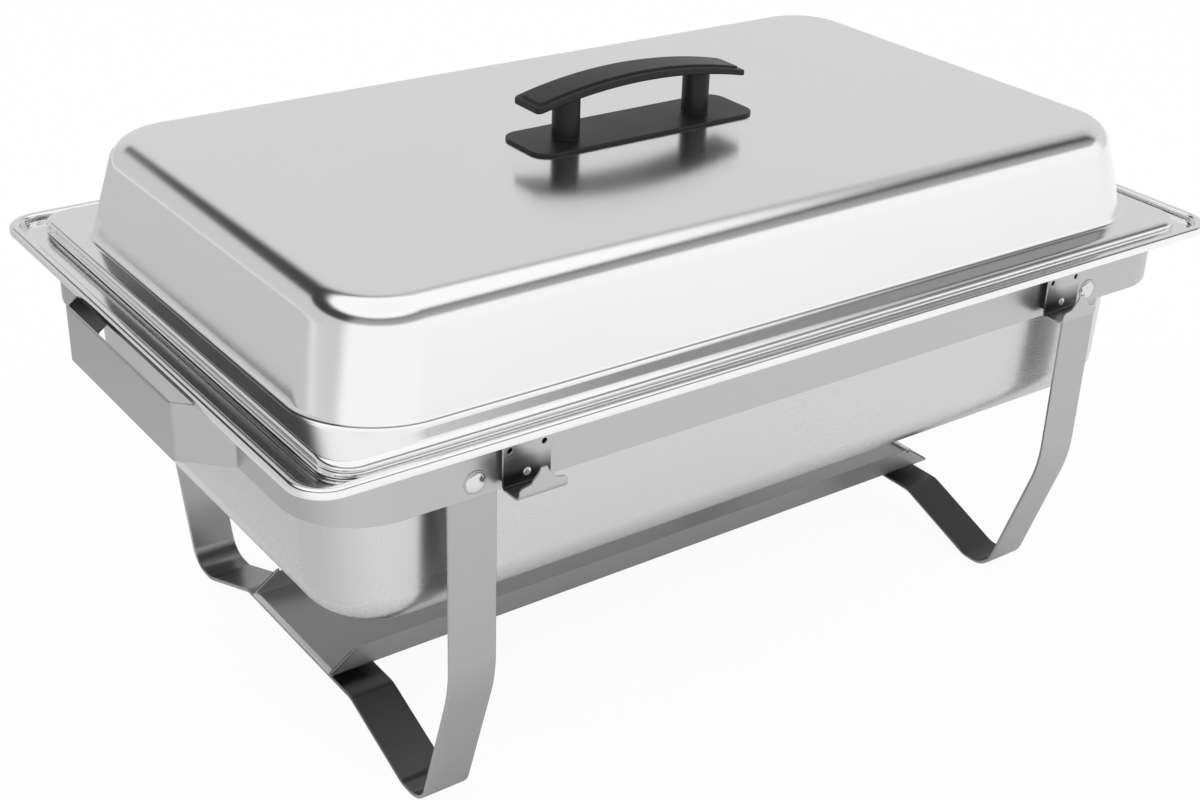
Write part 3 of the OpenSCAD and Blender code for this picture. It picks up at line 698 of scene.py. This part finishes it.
band = {"thickness": 1.5, "edge": 0.35, "bendSteps": 20, "corner": 38}
for side, (low, high), face in (("front", boxOf("front_rail"), -1), ("back", boxOf("back_rail"), 1)):
    half = band["thickness"] / 2
    left, right = low.x + half, high.x - half
    inner = high.y if face < 0 else low.y  # where the rail ends beside the end handles
    outer = (low.y + half) if face < 0 else (high.y - half)
    line = [(left, inner), (left, outer), (right, outer), (right, inner)]
    bends = [0, band["corner"] - half, band["corner"] - half, 0]
    rail = stripAlong(side + "Rail", line, bends, band, high.z - low.z, (low.z + high.z) / 2, stripSteel)
    place(rail, "frame", "stainless_strip", side + "_rail")

endHandle = {"thickness": 1.5, "edge": 0.35, "bendSteps": 6, "flat": 120, "bend": 4, "lap": 3, "tab": 9, "tabLess": 1}
for side, face in (("left", -1), ("right", 1)):
    low, high = boxOf(side + "_end_handle")
    half, bend, lap = endHandle["thickness"] / 2, endHandle["bend"], endHandle["lap"]
    tall, middleZ = high.z - low.z, (low.z + high.z) / 2
    out = (low.x + half) if face < 0 else (high.x - half)
    foot = (frontLow.x + half) if face < 0 else (frontHigh.x - half)
    flat = endHandle["flat"] / 2 - half
    line = [(foot, low.y), (foot, low.y + lap), (out, middleY - flat), (out, middleY + flat),
            (foot, high.y - lap), (foot, high.y)]
    bends = [0, bend / 2, bend, bend, bend / 2, 0]
    grip = stripAlong(side + "EndHandle", line, bends, endHandle, tall, middleZ, gripSteel)
    place(grip, "frame", "stainless_strip", side + "_end_handle")
    # each slanted return runs on a little way inside the band
    slant = Vector((foot - out, low.y + lap - middleY + flat)).normalized()
    for sign in (-1, 1):
        start = Vector((foot, middleY + sign * (middleY - low.y - lap)))
        tip = start + Vector((slant.x, -sign * slant.y)) * endHandle["tab"]
        tab = stripAlong(side + "HandleTab", [tuple(start), tuple(tip)], [0, 0], endHandle,
                         tall - endHandle["tabLess"], middleZ, gripSteel)
        place(tab, "frame", "stainless_strip")
print("band made")

leg = {"thickness": 2, "edge": 0.5, "kneeHeight": 84.3, "footIn": 27, "footFlat": 19.6, "crossHalf": 58,
       "crossTop": 21.8, "kneeBend": 80, "footBend": 14, "innerBend": 12, "pivotDrop": 21.3}
pivotZ = frontHigh.z - leg["pivotDrop"]


def buildLeg(low, high):
    thick = leg["thickness"]
    face, halfWidth, x = (high.y - low.y) / 2, (high.x - low.x) / 2, (low.x + high.x) / 2
    front = [(-face, pivotZ + halfWidth), (-face, leg["kneeHeight"]), (leg["footIn"] - face, 0),
             (leg["footIn"] + leg["footFlat"] - face, 0), (-leg["crossHalf"], leg["crossTop"] - thick)]
    corners = front + [(-y, z) for y, z in reversed(front)]
    bends = [leg["kneeBend"], leg["footBend"], leg["footBend"], leg["innerBend"]]
    path = foldedPath(corners, bends + bends[::-1], thick, 10)
    # the strip's ends are rounded about the pivot; each entry is (drop from the end, half width there)
    rounding = [(0.02, 1.2)] + [(halfWidth * (1 - c), max(halfWidth * s, 1)) for c, s in arc(0, 90, 12, 1)]
    rows = [(path[0][0] - Vector((0, drop)), path[0][1], -w, w) for drop, w in rounding]
    rows += [(p, n, -halfWidth, halfWidth) for p, n in path[1:-1]]
    rows += [(path[-1][0] - Vector((0, drop)), path[-1][1], -w, w) for drop, w in rounding[::-1]]
    return sheetAlong(rows, thick, leg["edge"], lambda p, s: Vector((x + s, p.x + middleY, p.y)))


for side, finish in (("left", legSteel), ("right", shadedFarLegSteel)):
    part = buildLeg(*boxOf(side + "_leg"))
    place(addPiece(side + "Leg", *part, finish), side + "_leg", "stainless_strip", side + "_leg")
print("legs made")

hook = {"sheet": 1.0, "edge": 0.2, "bendFront": 3.2, "bendBack": 1.4, "ledge": 14.4, "holeRadius": 1.5, "holeIn": 3.6,
        "tip": 14.5, "lip": 7, "lipCorner": 2.5, "tongueRoot": 6.3, "tongueTip": 1.7, "flareFrom": 0.85, "webFrom": 4}


def buildHook(low, high):
    sheet, corner = hook["sheet"], hook["lipCorner"]
    half, x = (high.x - low.x) / 2, (low.x + high.x) / 2
    plateBack = low.y + hook["ledge"]  # behind the plate's back face lies the gap to the band
    tip, lipTop = low.z + hook["tip"], low.z + hook["lip"]
    corners = [(low.y, tip), (low.y, low.z), (plateBack, low.z), (plateBack, high.z)]
    path = foldedPath(corners, [hook["bendFront"], hook["bendBack"]], sheet, 8)
    rows, forward = [], Vector((-1, 0))
    for t in [k / 14 for k in range(15)]:
        ease = 0.5 - 0.5 * math.cos(math.pi * t)
        flare = (max(t - hook["flareFrom"], 0) / (1 - hook["flareFrom"])) ** 2
        w = hook["tongueTip"] + (hook["tongueRoot"] - hook["tongueTip"]) * ease
        w += (half - corner - hook["tongueRoot"]) * flare
        rows.append((Vector((low.y, tip + (lipTop - tip) * t)), forward, -w, w))
    for c, s in arc(0, 90, 6, 1):
        w = half - corner * (1 - s)
        rows.append((Vector((low.y, lipTop - corner * (1 - c))), forward, -w, w))
    bendEnd = len(rows) + 9  # the lip ends where its bend meets the ledge
    rows += [(p, n, -half, half) for p, n in path[1:]]
    lip, back = [sheetAlong(part, sheet, hook["edge"], lambda p, s: Vector((x + s, p.x, p.y)))
                 for part in (rows[:bendEnd + 1], rows[bendEnd:])]
    webs = []
    for sign in (-1, 1):
        sides = [(Vector((x + sign * (half - 0.06), y)), Vector((sign, 0)), low.z + hook["webFrom"], high.z - 0.1)
                 for y in (plateBack - 0.5, high.y)]
        webs.append(sheetAlong(sides, sheet, 0.15, lambda p, s: Vector((p.x, p.y, s))))
    return lip, back, joined(*webs)


def drillHook(piece, low, high):
    # a hole in each upper corner of the hook's back plate
    radius, inset = hook["holeRadius"], hook["holeIn"]
    for x in (low.x + inset, high.x - inset):
        drill = addPiece("drill", *lathe([(radius, -4), (radius, 4)], (0, 0), 24), stripSteel)
        spot = Vector((x, low.y + hook["ledge"], high.z - inset)) * 0.001
        drill.matrix_world = Matrix.Translation(spot) @ Matrix.Rotation(math.pi / 2, 4, "X")
        cutter = piece.modifiers.new("hole", "BOOLEAN")
        cutter.object = drill
        cutter.solver = "EXACT"
        bpy.context.view_layer.update()
        mesh = bpy.data.meshes.new_from_object(piece.evaluated_get(bpy.context.evaluated_depsgraph_get()))
        piece.modifiers.remove(cutter)
        piece.data = mesh
        bpy.data.objects.remove(drill)


for side in ("left", "right"):
    low, high = boxOf("lid_hook_" + side)
    lip, back, webs = buildHook(low, high)
    place(addPiece(side + "HookLip", *lip, stripSteel), "frame", "stainless_strip")
    place(addPiece(side + "HookWebs", *webs, shadowWebSteel), "frame", "stainless_strip")
    piece = addPiece(side + "CoverHook", *back, shadedHookSteel)
    drillHook(piece, low, high)
    place(piece, "frame", "stainless_strip", "lid_hook_" + side)
print("hooks made")

shelf = {"sheet": 0.8, "bend": 1.2, "nose": 1.9, "slope": 16, "notch": 2.2, "hemHigh": 2.4, "hemThick": 3.0,
         "slantHem": 1.2, "slantHemWide": 1.5,
         "channelHigh": 4.5, "channelWide": 30, "channelIn": 12, "channelBend": 0.8}


def shelfPlate(base, halfL, halfW, tall):
    sheet, bend, nose, slope = shelf["sheet"], shelf["bend"], shelf["nose"], shelf["slope"]
    notched, eased = tall - shelf["notch"], tall - 0.5
    # along one end: the slant rises to a small relief notch beside the flange's straight edge
    end = [(0, nose), (0.6, nose + 0.4), (slope - 1.2, tall - 0.9), (slope - 0.4, tall - 0.4), (slope + 0.2, eased),
           (slope + 0.5, notched), (slope + 2.1, notched), (slope + 2.5, eased), (slope + 3, tall)]
    rings = []
    for x, rise in [(run - halfL, rise) for run, rise in end] + [(halfL - run, rise) for run, rise in end[::-1]]:
        outer = [(-halfW + bend * (1 - c), bend * (1 - s)) for c, s in arc(0, 90, 4)]
        inner = [(-halfW + bend - (bend - sheet) * c, bend - (bend - sheet) * s) for c, s in arc(0, 90, 4)]
        half = [(-halfW, rise - 0.2), (-halfW, bend + 0.3)] + outer
        section = half + [(-y, z) for y, z in reversed(half)]
        section += [(halfW - 0.2, rise), (halfW - sheet + 0.2, rise), (halfW - sheet, rise - 0.2)]
        section += [(-y, z) for y, z in inner] + [(y, z) for y, z in reversed(inner)]
        section += [(-halfW + sheet, rise - 0.2), (-halfW + sheet - 0.2, rise), (-halfW + 0.2, rise)]
        rings.append([Vector((x, y + middleY, base + z)) for y, z in section])
    points, faces = loft(rings, ends=False)
    count = len(rings[0])
    last = (len(rings) - 1) * count
    return points, faces + [tuple(range(count)), tuple(range(last, last + count))]


def shelfChannel(low, base, halfL):
    wide, length, tall = shelf["channelWide"] / 2, halfL - shelf["channelIn"], base + 0.3 - low
    corners = [(-wide, tall), (-wide, 0), (wide, 0), (wide, tall)]
    path = foldedPath(corners, [shelf["channelBend"]] * 2, shelf["sheet"], 4)
    rows = [(p, n, -length, length) for p, n in path]
    return sheetAlong(rows, shelf["sheet"], 0.2, lambda p, s: Vector((s, p.x + middleY, p.y + low)))


def shelfHems(base, halfL, halfW, tall):
    # turned-over hems stiffen each end and run on up the flanges' slants
    bend, nose, wide = shelf["bend"], shelf["nose"], shelf["slantHemWide"]
    up = Vector((shelf["slope"], tall - nose)).normalized()
    left, right = middleY - halfW, middleY + halfW
    hems = []
    for sign in (-1, 1):
        rows = [(Vector((sign * halfL, y)), Vector((sign, 0)), base + shelf["sheet"] - 0.1, base + shelf["hemHigh"])
                for y in (left + bend, right - bend)]
        hems.append(sheetAlong(rows, shelf["hemThick"], 0.4, lambda p, s: Vector((p.x, p.y, s))))
        for near, far in ((left, left + wide), (right - wide, right)):
            rows = []
            for run in (0.2, shelf["slope"] - 1):
                spot = Vector((sign * (halfL - 0.2 - run), nose + 0.35 + run * up.y / up.x))
                rows.append((spot, Vector((sign * up.y, up.x)), near, far))
            hems.append(sheetAlong(rows, shelf["slantHem"], 0.3, lambda p, s: Vector((p.x, s, base + p.y))))
    return joined(*hems)


halfL, halfW, low, high = halfSizes("fuel_shelf")
base = low + shelf["channelHigh"]
plate = joined(shelfPlate(base, halfL, halfW, high - base), shelfChannel(low, base, halfL))
place(addPiece("fuelShelf", *plate, shelfSteel), "shelf", "stainless_strip", "fuel_shelf")
# the hems, turned from the shelf's own sheet, are drawn in the brighter fastener steel: a painted highlight along the
# shelf's edges
place(addPiece("shelfHems", *shelfHems(base, halfL, halfW, high - base), fastenerSteel), "shelf", "stainless_strip")
print("shelf made")

legRivet = {"headRadius": 5.2, "headHeight": 2, "shankRadius": 2.5, "shankLength": 5.1,
            "collarRadius": 4.4, "collarHeight": 1.2, "collarDepth": 3.9}
hookRivet = {"headRadius": 2, "headHeight": 0.9, "shankRadius": 1.4, "shankLength": 0.5,
             "collarRadius": 1.2, "collarHeight": 0.2, "collarDepth": 0.2}
handleScrew = {"headRadius": 4.6, "headHeight": 3, "shankRadius": 2.48, "shankLength": 13,
               "collarRadius": 2.4, "collarHeight": 0.4, "collarDepth": 12}
rivetRing = ((5.0, 0.01), (6.0, 0.01), (5.8, 0.28), (5.1, 0.28))  # (radius, height off the band) round its section
washer = {"radius": 8, "hole": 2.7, "edge": 0.25}

spots = []
for side in ("left", "right"):
    low, high = boxOf(side + "_leg")
    for face, sign in ((frontLow.y, -1), (backHigh.y, 1)):
        spots.append((((low.x + high.x) / 2, face, pivotZ), (0, sign, 0)))
place(fastenersAt("legRivets", spots, legRivet, fastenerSteel), "frame", "fasteners",
      "left_leg_rivets", "right_leg_rivets")

rings = []
for (x, y, z), look in spots:
    points, faces = lathe(rivetRing, (0, 0), 40, closed=True)
    rings.append(([Vector((x + p.x, y + look[1] * p.z, z + p.y)) for p in points], faces))
place(addPiece("rivetRings", *joined(*rings), legSteel), "frame", "fasteners")

low, high = boxOf("hook_rivets")
spots = [((x, high.y, (low.z + high.z) / 2), (0, -1, 0))
         for x in (low.x + hookRivet["headRadius"], high.x - hookRivet["headRadius"])]
place(fastenersAt("hookRivets", spots, hookRivet, glintRivetSteel), "frame", "fasteners", "hook_rivets")

low, high = boxOf("handle_screws")
posts = (low.x + handleScrew["headRadius"], high.x - handleScrew["headRadius"])
spots = [((x, middleY, low.z + handleScrew["headHeight"]), (0, 0, -1)) for x in posts]
place(fastenersAt("handleScrews", spots, handleScrew, fastenerSteel), "cover", "fasteners", "handle_screws")

low, high = boxOf("handle_washers")
edge, outer, hole = washer["edge"], washer["radius"], washer["hole"]
section = [(hole, low.z), (outer - edge, low.z), (outer, low.z + edge),
           (outer, high.z - edge), (outer - edge, high.z), (hole, high.z)]
rings = [lathe(section, (x, middleY), 40, closed=True) for x in posts]
place(addPiece("handleWashers", *joined(*rings), fastenerSteel), "cover", "fasteners", "handle_washers")
print("rivets and screws made")

studio = {"floorHalf": 6, "floorDrop": 0.0002, "floorShade": 0.92, "floorGlow": 0.94, "skyLevel": 1.0,
          "topLight": 4, "topSize": (1.6, 1.6), "topHeight": 1.7,
          # grey levels that shiny parts see, as (height, level) from the horizon at 0 to straight up at 1
          "sides": ((0.0, 0.62), (0.43, 0.62), (0.47, 0.03), (0.73, 0.03), (0.79, 1.1), (0.87, 1.04), (1.0, 1.0)),
          "front": ((0.0, 1.0), (0.40, 1.0), (0.455, 0.4), (0.66, 0.3), (0.70, 0.16), (0.735, 0.16),
                    (0.79, 1.1), (0.87, 1.04), (1.0, 1.0)),
          "behind": ((0.0, 0.7), (0.30, 0.7), (0.50, 0.66), (0.70, 0.45), (0.775, 1.05), (0.87, 1.04), (1.0, 1.0)),
          "frontFacing": (0, -1, 0), "frontRange": (0.1, 0.4),
          "behindFacing": (0.8, 0.6, 0), "behindRange": (0.5, 0.72)}
card = {"outline": ((-0.33, -0.42), (-3, -0.42), (-3, 3), (0, 3), (0, 0.35), (-0.33, 0.25)),
        "near": -0.4, "far": 0.6,
        "levels": ((0.0, 1.0), (0.12, 0.9), (0.3, 0.74), (0.6, 0.68), (0.85, 0.58), (1.0, 0.56))}
white = (1, 1, 1, 1)


def stagePlane(name, corners, z):
    # a flat piece of the stage and its material, with nothing yet on the material's output
    mesh = bpy.data.meshes.new(name)
    mesh.from_pydata([(x, y, z) for x, y in corners], [], [tuple(range(len(corners)))])
    plane = bpy.data.objects.new(name, mesh)
    bpy.context.scene.collection.objects.link(plane)
    material, tree, metal = newMaterial(name + "Paper")
    tree.nodes.remove(metal)
    mesh.materials.append(material)
    return plane, tree


def buildFloor():
    half = studio["floorHalf"]
    corners = ((-half, -half), (half, -half), (half, half), (-half, half))
    floor, tree = stagePlane("floor", corners, -studio["floorDrop"])
    paper = addNode(tree, "ShaderNodeBsdfDiffuse", {"Color": (*grey(studio["floorShade"]), 1)})
    glow = addNode(tree, "ShaderNodeEmission", {"Color": white})
    seen = tree.nodes.new("ShaderNodeLightPath").outputs["Is Camera Ray"]
    amount = addNode(tree, "ShaderNodeMath", {0: seen, 1: studio["floorGlow"]}, operation="MULTIPLY")
    mix = addNode(tree, "ShaderNodeMixShader", {0: amount.outputs[0], 1: paper.outputs[0], 2: glow.outputs[0]})
    feed(tree.nodes["Material Output"], {"Surface": mix.outputs[0]})


def buildCard():
    # a grey card on the floor to the left, seen only by the polished steel
    sheet, tree = stagePlane("greyCard", card["outline"], 0)
    sheet.visible_camera = sheet.visible_diffuse = sheet.visible_shadow = False
    spot = tree.nodes.new("ShaderNodeTexCoord").outputs["Object"]
    along = addNode(tree, "ShaderNodeSeparateXYZ", {0: spot}).outputs["Y"]
    level = greyRamp(tree, card["levels"], rescaled(tree, along, card["near"], card["far"]))
    glow = addNode(tree, "ShaderNodeEmission", {"Color": level})
    feed(tree.nodes["Material Output"], {"Surface": glow.outputs[0]})


def buildWorld():
    # shiny parts see bright walls, a dark ring above them and a wide overhead light; it is softer behind
    world = bpy.data.worlds.new("studio")
    bpy.context.scene.world = world
    world.use_nodes = True
    tree = world.node_tree
    tree.nodes.clear()
    toward = tree.nodes.new("ShaderNodeTexCoord").outputs["Generated"]
    rise = addNode(tree, "ShaderNodeSeparateXYZ", {0: toward}).outputs["Z"]
    level = greyRamp(tree, studio["sides"], rise)
    for side in ("behind", "front"):
        facing = dotOf(tree, toward, studio[side + "Facing"])
        share = rescaled(tree, facing, *studio[side + "Range"], interpolation_type="SMOOTHSTEP")
        level = colourMix(tree, share, level, greyRamp(tree, studio[side], rise))
    room = addNode(tree, "ShaderNodeBackground", {"Color": level})
    plain = addNode(tree, "ShaderNodeBackground", {"Color": white, "Strength": studio["skyLevel"]})
    blank = addNode(tree, "ShaderNodeBackground", {"Color": white})
    path = tree.nodes.new("ShaderNodeLightPath").outputs
    shiny = addNode(tree, "ShaderNodeMath", {
        0: path["Is Glossy Ray"], 1: path["Is Transmission Ray"]}, operation="MAXIMUM")
    lit = addNode(tree, "ShaderNodeMixShader", {0: shiny.outputs[0], 1: plain.outputs[0], 2: room.outputs[0]})
    shown = addNode(tree, "ShaderNodeMixShader", {0: path["Is Camera Ray"], 1: lit.outputs[0], 2: blank.outputs[0]})
    addNode(tree, "ShaderNodeOutputWorld", {0: shown.outputs[0]})


def buildTopLight():
    lamp = bpy.data.lights.new("topLight", "AREA")
    lamp.shape = "RECTANGLE"
    lamp.size, lamp.size_y = studio["topSize"]
    lamp.energy = studio["topLight"]
    holder = bpy.data.objects.new("topLight", lamp)
    holder.location = (0, 0, studio["topHeight"])
    holder.visible_glossy = False  # the room's overhead light stands for it in reflections
    bpy.context.scene.collection.objects.link(holder)


view = {"eye": (-552.4, -727.2, 581.0), "aim": (-65.3, -85.5, 158.05), "roll": 2.4,
        "lens": 54.4, "shift": (-0.0168, 0.0091)}


def buildCamera():
    camera = bpy.data.cameras.new("camera")
    camera.lens = view["lens"]
    camera.sensor_width = 36
    camera.shift_x, camera.shift_y = view["shift"]
    camera.clip_start, camera.clip_end = 0.02, 40
    holder = bpy.data.objects.new("camera", camera)
    eye, aim = Vector(view["eye"]) * 0.001, Vector(view["aim"]) * 0.001
    turned = (aim - eye).to_track_quat("-Z", "Y").to_matrix().to_4x4()
    holder.matrix_world = Matrix.Translation(eye) @ turned @ Matrix.Rotation(math.radians(view["roll"]), 4, "Z")
    bpy.context.scene.collection.objects.link(holder)
    bpy.context.scene.camera = holder


buildFloor()
buildCard()
buildWorld()
buildTopLight()
buildCamera()
bpy.context.scene.view_settings.view_transform = "Standard"
bpy.context.view_layer.update()
print("scene ready")
